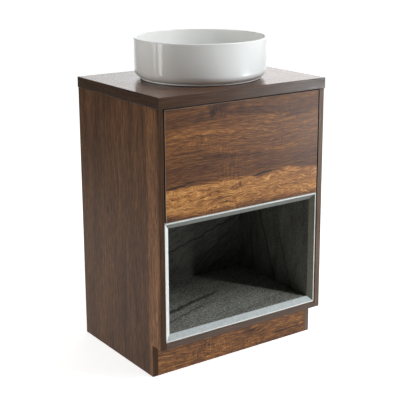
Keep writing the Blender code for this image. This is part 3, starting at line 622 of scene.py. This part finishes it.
def paint_drawer_and_fittings(zinc, white_plastic, grey_plastic, rubber):
    """The drawer's box, its runners, the latch and the small fittings."""
    linen = drawer_board()
    for node in (
        "drawer_inner_front", "drawer_base", "drawer_side_left", "drawer_side_right",
        "drawer_back_left", "drawer_back_right", "recess_wall_front", "recess_wall_left",
        "recess_wall_right",
    ):
        paint(node, linen)
    for side in ("left", "right"):
        paint(f"wall_bracket_{side}", zinc)
        for member in ("cabinet", "middle", "drawer"):
            paint(f"runner_{side}_{member}", zinc)
    for number in range(1, 5):
        paint(f"worktop_screw_{number}", zinc)
    paint("latch_housing", grey_plastic)
    paint("latch_plunger", white_plastic)
    paint("waste_cartridge", grey_plastic)
    paint("waste_flange_seal", rubber)
    paint("waste_washer", rubber)
    # The thin bead is painted a dark brown: painted shade for the contact shadow under the basin's
    # foot.
    silicone = moulded("clear_silicone", srgb(62, 56, 51), srgb(48, 43, 39), 0.35, 0.00003)
    paint("basin_bedding", silicone)


# ---- Turned pieces -------------------------------------------------------------------------

def arc(centre, radius, start, end, count):
    """Points on an arc, from one angle to another in degrees."""
    step = (end - start) / (count - 1)
    angles = [math.radians(start + step * index) for index in range(count)]
    return [(centre[0] + radius * math.cos(a), centre[1] + radius * math.sin(a)) for a in angles]


ON_AXIS = 1e-7


def lathe(name, profile, origin=(0.0, 0.0, 0.0), turn=None, steps=96, ribs=0, rib_depth=0.0,
          sharp=40):
    """A closed turned piece from (radius, height) points in their order along its section.

    Points on the axis close it there; any other profile is closed into a ring. A third value in a
    point says how much of the rib depth is taken off it between two ribs.
    """
    shape = bmesh.new()
    rings = []
    for point in profile:
        radius, height = point[0], point[1]
        share = point[2] if len(point) > 2 else 0.0
        if radius < ON_AXIS:
            rings.append([shape.verts.new((0.0, 0.0, height))])
            continue
        ring = []
        for step in range(steps):
            angle = 2 * math.pi * step / steps
            groove = (0.5 - 0.5 * math.cos(ribs * angle)) ** 2 if ribs else 0.0
            reach = radius - share * rib_depth * groove
            ring.append(shape.verts.new((reach * math.cos(angle), reach * math.sin(angle), height)))
        rings.append(ring)
    pairs = list(zip(rings, rings[1:]))
    if len(rings[0]) > 1:
        pairs.append((rings[-1], rings[0]))
    for upper, lower in pairs:
        for step in range(steps):
            following = (step + 1) % steps
            corners = [upper[step % len(upper)], lower[step % len(lower)],
                       lower[following % len(lower)], upper[following % len(upper)]]
            corners = list(dict.fromkeys(corners))
            if len(corners) > 2:
                shape.faces.new(corners)
    bmesh.ops.recalc_face_normals(shape, faces=shape.faces)
    return finished(name, shape, origin, turn, sharp)


def finished(name, shape, origin=(0.0, 0.0, 0.0), turn=None, sharp=40):
    """A mesh object from a bmesh, with its place and turn taken into the mesh."""
    move = Matrix.Translation(origin)
    if turn is not None:
        move = move @ turn
    bmesh.ops.transform(shape, matrix=move, verts=shape.verts)
    mesh = bpy.data.meshes.new(name)
    shape.to_mesh(mesh)
    shape.free()
    mesh.shade_smooth()
    mesh.set_sharp_from_angle(angle=math.radians(sharp))
    piece = bpy.data.objects.new(name, mesh)
    bpy.context.scene.collection.objects.link(piece)
    return piece


def stand_for(piece, node, body, material):
    """Let a finished piece take a CAD node's place."""
    piece.data.materials.append(material)
    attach(piece, body)
    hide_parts(node)


CONTACT_GAP = 0.0003
TUBE_RADIUS = 0.016
TUBE_BORE = 0.0145
CLEAR_BORE = 0.0163
TAIL_RADIUS = 0.0205
NUT_BORE = 0.0208
BASIN_LOW, BASIN_HIGH = (Vector(corner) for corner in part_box("basin"))
BASIN_RADIUS = BASIN_HIGH.x
FOOT = BASIN_LOW.z
RIM = BASIN_HIGH.z


def basin_profile():
    """The basin's section: rim, outer wall, foot ring, underside, drain and bowl."""
    rim_round = 0.0033
    rim_inner = BASIN_RADIUS - 0.007
    wall_foot = BASIN_RADIUS - 0.0006
    corner_radius = 0.026
    corner = (wall_foot - corner_radius, FOOT + 0.0292)
    undercut = 0.186
    foot_radius = 0.184
    groove, ease, heel = 0.0012, 0.0008, 0.0010
    corner_end = -math.degrees(math.acos((undercut - corner[0]) / corner_radius))
    bowl_radius = 0.034
    bowl = (wall_foot - 0.008 - bowl_radius, FOOT + 0.023 + bowl_radius)
    underside = FOOT + 0.006
    drain = 0.0235
    seat = FOOT + 0.0145
    return (
        arc((BASIN_RADIUS - rim_round, RIM - rim_round), rim_round, 90, 0, 9)
        + arc(corner, corner_radius, 0, corner_end, 24)
        + arc((foot_radius - 0.0028, FOOT + 0.0062), groove, 90, 270, 9)
        + arc((foot_radius - ease, FOOT + 0.0034), ease, 90, 0, 5)
        + arc((foot_radius - heel, FOOT + heel), heel, 0, -90, 5)
        + [(foot_radius - 0.018, FOOT), (foot_radius - 0.021, underside), (drain, underside)]
        + [(drain, seat), (0.0345, seat)]
        + arc((0.0420, FOOT + 0.0130), 0.0063, 165, 92, 8)
        + arc(bowl, bowl_radius, -88, 0, 26)
        + arc((rim_inner + rim_round, RIM - rim_round), rim_round, 180, 96, 8)
    )


def make_basin():
    """The basin at full smoothness."""
    piece = lathe("vessel_basin", basin_profile(), steps=256, sharp=55)
    stand_for(piece, "basin", "cabinet", ceramic())


def make_waste(chrome, white_plastic):
    """The waste's flange and tail, its domed plug, and the backnut under the worktop."""
    flange_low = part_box("waste_flange_seal")[1][Z] + CONTACT_GAP
    flange_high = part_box("waste_body")[1][Z]
    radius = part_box("waste_body")[1][X]
    tail_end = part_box("waste_body")[0][Z]
    profile = (
        arc((0.0185, flange_high - 0.0014), 0.0010, 180, 110, 5)
        + arc((radius - 0.0014, flange_high - 0.0013), 0.0013, 90, 0, 7)
        + [(radius, flange_low + 0.0005), (radius - 0.0005, flange_low)]
        + [(TAIL_RADIUS, flange_low), (TAIL_RADIUS, tail_end + 0.0006)]
        + [(TAIL_RADIUS - 0.0006, tail_end), (0.0175, tail_end)]
    )
    stand_for(lathe("waste_flange_and_tail", profile), "waste_body", "cabinet", chrome)

    seat = flange_high + CONTACT_GAP
    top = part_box("waste_plug")[1][Z]
    stem_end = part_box("waste_plug")[0][Z]
    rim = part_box("waste_plug")[1][X]
    crown = top - seat - 0.0030
    dome_radius = (rim ** 2 + crown ** 2) / (2 * crown)
    reach = math.degrees(math.asin((rim - 0.0008) / dome_radius))
    dome = arc((0.0, top - dome_radius), dome_radius, 90, 90 - reach, 14)
    dome[0] = (0.0, top)
    stem = 0.004
    profile = (
        dome
        + arc((rim - 0.0010, seat + 0.0018), 0.0010, 55, 0, 5)
        + [(rim, seat + 0.0006), (rim - 0.0006, seat), (stem, seat), (stem, stem_end + 0.0005)]
        + [(stem - 0.0005, stem_end), (0.0, stem_end)]
    )
    stand_for(lathe("waste_plug_dome", profile), "waste_plug", "plug", chrome)
    make_backnut(white_plastic)


def make_backnut(material):
    """A six-sided plastic nut with eased corners and a washer face on top."""
    low, high = (corner[Z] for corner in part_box("waste_backnut"))
    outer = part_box("waste_backnut")[1][X]
    sides, steps = 6, 144
    shape = bmesh.new()

    def radius_at(angle):
        """The hexagon's radius at an angle, with its corners eased."""
        sector = 2 * math.pi / sides
        off = (angle + sector / 2) % sector - sector / 2
        flat = outer * math.cos(sector / 2)
        return min(flat / math.cos(sector / 2 - abs(off)), outer * 0.985)

    levels = (
        (NUT_BORE, high), (0.92, high), (1.0, high - 0.0016), (1.0, low + 0.0010), (0.97, low),
        (NUT_BORE, low),
    )
    rings = []
    for reach, height in levels:
        ring = []
        for step in range(steps):
            angle = 2 * math.pi * step / steps
            radius = reach if reach == NUT_BORE else reach * radius_at(angle)
            place = (radius * math.cos(angle), radius * math.sin(angle), height)
            ring.append(shape.verts.new(place))
        rings.append(ring)
    for upper, lower in zip(rings, rings[1:] + rings[:1]):
        for step in range(steps):
            following = (step + 1) % steps
            shape.faces.new((upper[step], lower[step], lower[following], upper[following]))
    bmesh.ops.recalc_face_normals(shape, faces=shape.faces)
    nut = finished("waste_backnut_hex", shape, sharp=25)
    stand_for(nut, "waste_backnut", "cabinet", material)


AXIS_BACK = Matrix.Rotation(-math.pi / 2, 4, "X")
AXIS_FRONT = Matrix.Rotation(math.pi / 2, 4, "X")
UPSIDE_DOWN = Matrix.Rotation(math.pi, 4, "X")


def slip_nut(name, node, origin, turn, chrome):
    """A chromed slip nut with a ribbed grip, standing for its CAD node."""
    radius = 0.0255
    length = 0.018
    step_inside = -0.0145
    profile = [
        (NUT_BORE, 0.0), (radius - 0.0022, 0.0), (radius - 0.0008, -0.0004, 0.2),
        (radius, -0.0015, 1.0), (radius, -length + 0.0050, 1.0),
        (radius - 0.0008, -length + 0.0036, 0.3), (radius - 0.0030, -length + 0.0010),
        (radius - 0.0038, -length), (CLEAR_BORE, -length), (CLEAR_BORE, step_inside),
        (NUT_BORE, step_inside),
    ]
    piece = lathe(name, profile, origin, turn, steps=240, ribs=20, rib_depth=0.0011, sharp=50)
    stand_for(piece, node, "cabinet", chrome)


def make_trap(chrome):
    """The bottle trap and its pipes, turned finely."""
    outlet_low, outlet_high = (corner[Z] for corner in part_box("trap_outlet_pipe"))
    outlet_height = (outlet_low + outlet_high) / 2
    inlet_nut_place = (0, 0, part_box("trap_inlet_nut")[1][Z])
    neck_nut_place = (0, 0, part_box("trap_neck_nut")[0][Z])
    outlet_nut_place = (0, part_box("trap_outlet_nut")[0][Y], outlet_height)
    slip_nut("trap_inlet_nut_ribbed", "trap_inlet_nut", inlet_nut_place, None, chrome)
    slip_nut("trap_neck_nut_ribbed", "trap_neck_nut", neck_nut_place, UPSIDE_DOWN, chrome)
    slip_nut("trap_outlet_nut_ribbed", "trap_outlet_nut", outlet_nut_place, AXIS_FRONT, chrome)
    make_tubes(outlet_height, chrome)
    make_bottle(outlet_height, chrome)
    make_cup(chrome)


def make_tubes(outlet_height, chrome):
    """The inlet tube, the outlet pipe and the wall flange."""
    low, high = (corner[Z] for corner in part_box("trap_inlet_tube"))
    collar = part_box("trap_inlet_tube")[1][X]
    collar_low = high - 0.0045
    profile = [
        (TUBE_BORE, high), (collar, high), (collar, collar_low), (TUBE_RADIUS, collar_low),
        (TUBE_RADIUS, low), (TUBE_BORE, low),
    ]
    tube = lathe("trap_inlet_tube_drawn", profile)
    stand_for(tube, "trap_inlet_tube", "cabinet", chrome)
    start, end = (corner[Y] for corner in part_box("trap_outlet_pipe"))
    profile = [(TUBE_BORE, end), (TUBE_RADIUS, end), (TUBE_RADIUS, start), (TUBE_BORE, start)]
    pipe = lathe("trap_outlet_pipe_drawn", profile, (0, 0, outlet_height), AXIS_BACK)
    stand_for(pipe, "trap_outlet_pipe", "cabinet", chrome)
    front, back = (corner[Y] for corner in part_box("trap_wall_flange"))
    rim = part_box("trap_wall_flange")[1][X]
    shelf = back - 0.0008
    profile = (
        [(CLEAR_BORE, back), (rim, back), (rim, shelf)]
        + [(CLEAR_BORE + (rim - CLEAR_BORE) * (1 - t * t), shelf - (shelf - front) * t)
           for t in (0.2, 0.4, 0.6, 0.8, 0.92)]
        + [(CLEAR_BORE, front)]
    )
    flange = lathe("trap_wall_flange_spun", profile, (0, 0, outlet_height), AXIS_BACK, sharp=60)
    stand_for(flange, "trap_wall_flange", "cabinet", chrome)


def make_bottle(outlet_height, chrome):
    """The bottle, with its outlet spigot joined on and bored through."""
    low, high = (corner[Z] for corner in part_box("trap_body"))
    radius = 0.030
    shoulder = high - 0.010
    fillet = 0.0015
    rounding = 0.006
    thread = 0.028
    bore = 0.0255
    cup_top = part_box("trap_cup")[1][Z]
    profile = (
        [(CLEAR_BORE, high), (TAIL_RADIUS, high)]
        + arc((TAIL_RADIUS + fillet, shoulder + fillet), fillet, 180, 270, 5)
        + arc((radius - rounding, shoulder - rounding), rounding, 90, 0, 10)
        + [(radius, cup_top + 0.0030), (radius - 0.0004, cup_top + 0.0016)]
        + [(thread, cup_top + 0.0010), (thread, low), (bore, low)]
        + [(bore, shoulder - 0.0060), (CLEAR_BORE, shoulder - 0.0030)]
    )
    body = lathe("trap_bottle", profile)
    spigot_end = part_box("trap_body")[1][Y]
    spigot_start = radius - 0.004
    bore_start = TUBE_RADIUS + 0.004
    bore_end = spigot_end + 0.01
    rods = []
    for name, rod, start, end in (
        ("spigot", TAIL_RADIUS, spigot_start, spigot_end),
        ("spigot_bore", CLEAR_BORE, bore_start, bore_end),
    ):
        section = [(0.0, end), (rod, end), (rod, start), (0.0, start)]
        rods.append(lathe(name, section, (0, 0, outlet_height), AXIS_BACK))
    combine(body, rods[0], "UNION")
    combine(body, rods[1], "DIFFERENCE")
    body.data.shade_smooth()
    body.data.set_sharp_from_angle(angle=math.radians(35))
    stand_for(body, "trap_body", "cabinet", chrome)


def combine(target, other, operation):
    """Apply a Boolean with another object to the target, and remove the other object."""
    modifier = target.modifiers.new("combine", "BOOLEAN")
    modifier.operation = operation
    modifier.solver = "EXACT"
    modifier.object = other
    graph = bpy.context.evaluated_depsgraph_get()
    mesh = bpy.data.meshes.new_from_object(target.evaluated_get(graph))
    target.modifiers.clear()
    target.data = mesh
    bpy.data.objects.remove(other, do_unlink=True)


def make_cup(chrome):
    """The trap's cup with a ribbed grip ring and a rounded base."""
    low, high = (corner[Z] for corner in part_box("trap_cup"))
    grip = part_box("trap_cup")[1][X]
    wall = 0.0295
    bore = 0.026
    thread = 0.0283
    round_base = 0.009
    bottle_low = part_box("trap_body")[0][Z]
    profile = (
        [(0.0, low + 0.003), (bore - 0.006, low + 0.003), (bore, low + 0.009)]
        + [(bore, bottle_low - 0.002), (thread, bottle_low - 0.001), (thread, high)]
        + [(grip - 0.0010, high), (grip, high - 0.0010, 1.0), (grip, high - 0.0125, 1.0)]
        + [(grip - 0.0006, high - 0.0135, 0.3), (wall, high - 0.0150)]
        + arc((wall - round_base, low + round_base), round_base, 0, -90, 12)
        + [(0.0, low)]
    )
    cup = lathe("trap_cup_ribbed", profile, steps=288, ribs=36, rib_depth=0.0009, sharp=50)
    stand_for(cup, "trap_cup", "cabinet", chrome)


# ---- Studio --------------------------------------------------------------------------------

CAMERA_PLACE = Vector((-1.7094, -2.4641, 1.3161))
CAMERA_YAW = math.radians(-34.691)
CAMERA_PITCH = math.radians(-14.010)
CAMERA_ROLL = math.radians(0.298)
CAMERA_LENS = 89.145
CAMERA_SENSOR = 36.0
CAMERA_SHIFT = -0.090


def make_camera():
    """The camera, at the photo's viewing angle. The shift gives the photo's framing."""
    data = bpy.data.cameras.new("camera")
    data.lens = CAMERA_LENS
    data.sensor_width = CAMERA_SENSOR
    data.shift_y = CAMERA_SHIFT
    camera = bpy.data.objects.new("camera", data)
    yaw = Matrix.Rotation(CAMERA_YAW, 4, "Z")
    pitch = Matrix.Rotation(math.pi / 2 + CAMERA_PITCH, 4, "X")
    roll = Matrix.Rotation(-CAMERA_ROLL, 4, "Z")
    camera.matrix_world = Matrix.Translation(CAMERA_PLACE) @ yaw @ pitch @ roll
    bpy.context.scene.collection.objects.link(camera)
    bpy.context.scene.camera = camera


WHITE = (1.0, 1.0, 1.0)
COOL = (0.88, 0.95, 1.0)
DAYLIGHT = (0.96, 0.99, 1.0)
WINDOW = (1.0, 0.99, 0.97)
WARM = (1.0, 0.95, 0.88)
WARMER = (1.0, 0.93, 0.84)

# The two narrow strips to the right of the front cast the niche's sharp shadow. The drawer front
# mirrors the three low boxes, and the basin's left side mirrors the two panes.
# Name, azimuth from the front towards the right, elevation, distance, size, power, colour.
SOFTBOXES = (
    ("strip_low", 30.5, 17, 3.2, (0.10, 1.1), 13.0, WHITE),
    ("strip_high", 30.5, 50, 3.2, (0.14, 1.7), 27.0, WHITE),
    ("key_high", 42, 48, 3.0, (1.0, 1.0), 17.0, DAYLIGHT),
    ("key_low_1", 45.5, -7, 3.20, (0.82, 0.32), 9.0, COOL),
    ("key_low_2", 48.0, -7, 3.25, (0.66, 0.32), 6.0, COOL),
    ("key_low_3", 51.5, -7, 3.30, (0.66, 0.32), 3.0, COOL),
    ("fill_right", 57, 22, 3.0, (1.4, 1.8), 17.0, DAYLIGHT),
    ("window_left", -117, 15, 3.0, (0.95, 0.9), 10.0, WINDOW),
    ("pane_wide", -104.5, 8, 3.0, (0.34, 1.6), 8.6, WINDOW),
    ("pane_narrow", -116.5, 8, 3.0, (0.12, 1.6), 2.2, WINDOW),
    ("fill_left", -93, 15, 3.0, (1.5, 0.9), 10.5, WARMER),
    ("overhead", 180, 80, 3.0, (2.0, 2.0), 18.5, WARM),
)
AIM = Vector((0.0, 0.0, 0.55))


def softbox(name, azimuth, elevation, distance, size, power, colour):
    """A rectangular softbox that faces the object."""
    data = bpy.data.lights.new(name, "AREA")
    data.shape = "RECTANGLE"
    data.size, data.size_y = size
    data.energy = power
    data.color = colour
    turn, rise = math.radians(azimuth), math.radians(elevation)
    level = math.cos(rise)
    towards = Vector((math.sin(turn) * level, -math.cos(turn) * level, math.sin(rise)))
    light = bpy.data.objects.new(name, data)
    light.location = AIM + towards * distance
    light.rotation_euler = (-towards).to_track_quat("-Z", "Y").to_euler()
    bpy.context.scene.collection.objects.link(light)


BACKDROP_TOWARDS = (0.78, 0.62, 0.0)
BACKDROP_EDGE = (0.74, 0.97)
BACKDROP_LEVEL = 1.9
ROOM_LEVEL = 0.05
# What the camera itself sees of the world and the floor is at least this bright.
SEEN_LEVEL = 0.72


def make_world():
    """A dim room with a bright white backdrop behind the object, and pale to the camera."""
    world = bpy.data.worlds.new("room")
    bpy.context.scene.world = world
    world.use_nodes = True
    nodes, links = world.node_tree.nodes, world.node_tree.links
    background = nodes["Background"]
    place = nodes.new("ShaderNodeTexCoord")
    share = nodes.new("ShaderNodeVectorMath")
    share.operation = "DOT_PRODUCT"
    share.inputs[1].default_value = BACKDROP_TOWARDS
    links.new(place.outputs["Generated"], share.inputs[0])
    level = nodes.new("ShaderNodeMapRange")
    level.interpolation_type = "SMOOTHSTEP"
    for socket, value in zip(level.inputs[1:], (*BACKDROP_EDGE, ROOM_LEVEL, BACKDROP_LEVEL)):
        socket.default_value = value
    links.new(share.outputs["Value"], level.inputs[0])
    seen = nodes.new("ShaderNodeLightPath")
    brighter = nodes.new("ShaderNodeMath")
    brighter.operation = "MAXIMUM"
    links.new(level.outputs[0], brighter.inputs[0])
    pale = nodes.new("ShaderNodeMath")
    pale.operation = "MULTIPLY"
    pale.inputs[1].default_value = SEEN_LEVEL
    links.new(seen.outputs["Is Camera Ray"], pale.inputs[0])
    links.new(pale.outputs[0], brighter.inputs[1])
    links.new(brighter.outputs[0], background.inputs["Strength"])
    background.inputs["Color"].default_value = (*WHITE, 1.0)


FLOOR_RADIUS = 25.0
FLOOR_TONES = ((0.0, (0.84, 0.84, 0.84, 1.0)), (1.0, (0.90, 0.90, 0.90, 1.0)))
VIEW_X, VIEW_Y = 0.57, 0.82
CAMERA_BEFORE = 3.0
# The floor's glow rises in two steps with the distance behind the object, and fades to the sides
# with the angle from the camera. Each is (start, end, level at the start, level at the end).
GLOW_NEAR = (-1.6, -0.4, 0.0, 0.52)
GLOW_FAR = (0.0, 1.4, 0.0, 0.40)
GLOW_FADE = (0.24, 0.62, 1.0, 0.0)


def make_floor():
    """A plain pale floor. It glows behind the object, and is never dark to the camera."""
    shape = bmesh.new()
    bmesh.ops.create_circle(shape, cap_ends=True, segments=96, radius=FLOOR_RADIUS)
    graph = Graph("pale_floor")
    speck = graph.noise(graph.place, 3.0, 3.0, 0.5)
    x, y, _ = graph.axes()
    behind = graph.math(
        "ADD", graph.math("MULTIPLY", x, VIEW_X), graph.math("MULTIPLY", y, VIEW_Y)
    )
    aside = graph.math(
        "SUBTRACT", graph.math("MULTIPLY", y, VIEW_X), graph.math("MULTIPLY", x, VIEW_Y)
    )
    near_glow = graph.span(behind, *GLOW_NEAR)
    far_glow = graph.span(behind, *GLOW_FAR)
    from_camera = graph.math("ADD", behind, CAMERA_BEFORE)
    spread = graph.math("DIVIDE", graph.math("ABSOLUTE", aside), from_camera)
    fade = graph.span(spread, *GLOW_FADE)
    glow = graph.math("MULTIPLY", graph.math("ADD", near_glow, far_glow), fade)
    seen = graph.add("ShaderNodeLightPath").outputs["Is Camera Ray"]
    glow = graph.math("MAXIMUM", glow, graph.math("MULTIPLY", seen, SEEN_LEVEL))
    graph.shade(
        Base_Color=graph.ramp(speck, FLOOR_TONES),
        Roughness=0.75,
        Specular_IOR_Level=0.1,
        Emission_Color=(*WHITE, 1.0),
        Emission_Strength=glow,
    )
    floor = finished("floor", shape)
    floor.data.materials.append(graph.material)


# ---- Making it all -------------------------------------------------------------------------


def main():
    """Build the looks around the CAD frame."""
    make_camera()
    chrome = metal("chrome", srgb(236, 238, 240), srgb(214, 217, 220), 0.07, scratches=0.06)
    zinc = metal("zinc_steel", srgb(206, 209, 212), srgb(164, 168, 173), 0.34, spangle=0.35)
    white_plastic = moulded(
        "white_plastic", srgb(232, 233, 231), srgb(220, 221, 219), 0.34, 0.00003
    )
    grey_plastic = moulded("grey_plastic", srgb(112, 114, 117), srgb(98, 100, 103), 0.46, 0.00005)
    rubber = moulded("black_rubber", srgb(40, 40, 41), srgb(28, 28, 29), 0.72, 0.00008)
    paint_cabinet()
    paint_niche()
    paint_drawer_and_fittings(zinc, white_plastic, grey_plastic, rubber)
    make_basin()
    make_waste(chrome, white_plastic)
    make_trap(chrome)
    make_floor()
    for settings in SOFTBOXES:
        softbox(*settings)
    make_world()
    bpy.context.scene.view_settings.view_transform = "Standard"


main()
